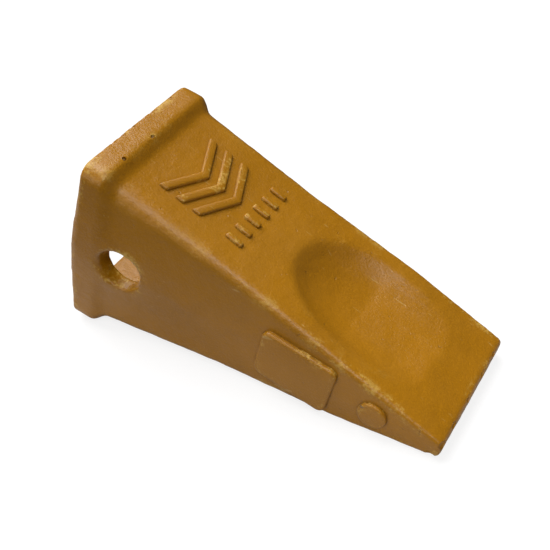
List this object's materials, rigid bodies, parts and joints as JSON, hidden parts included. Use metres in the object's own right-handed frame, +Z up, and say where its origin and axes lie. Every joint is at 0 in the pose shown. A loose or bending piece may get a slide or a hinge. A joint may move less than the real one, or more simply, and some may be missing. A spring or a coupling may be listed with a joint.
{
  "type": "excavator bucket tooth",
  "caption": "Cast wedge-shaped bucket tooth with a hollow rear socket, scooped faces, a flared rear rim and a cross bore, with its round locking pin and split retaining ring.",
  "frame": {"origin": "middle of the cross bore's axis, halfway between the side walls, where the adapter nose's own pin hole lines up", "axes": "+X towards the tip, +Y towards the far side, where the pin is drawn out, +Z up as the tooth lies on its underside"},
  "size_m": [0.2562, 0.1268, 0.1286],
  "materials": {
    "painted_casting": "glossy ochre paint over a sand-cast skin",
    "pin_steel": "turned and oil-blacked",
    "spring_steel": "blued spring steel"
  },
  "bodies": {
    "tooth": {"tooth_casting": "painted_casting", "pin_retainer": "spring_steel"},
    "pin": {"locking_pin": "pin_steel"}
  },
  "joints": [
    {"name": "pin_slide", "type": "slide", "parent": "tooth", "child": "pin", "axis": [0, 1, 0], "range_m": [-0.021, 0.09]}
  ]
}
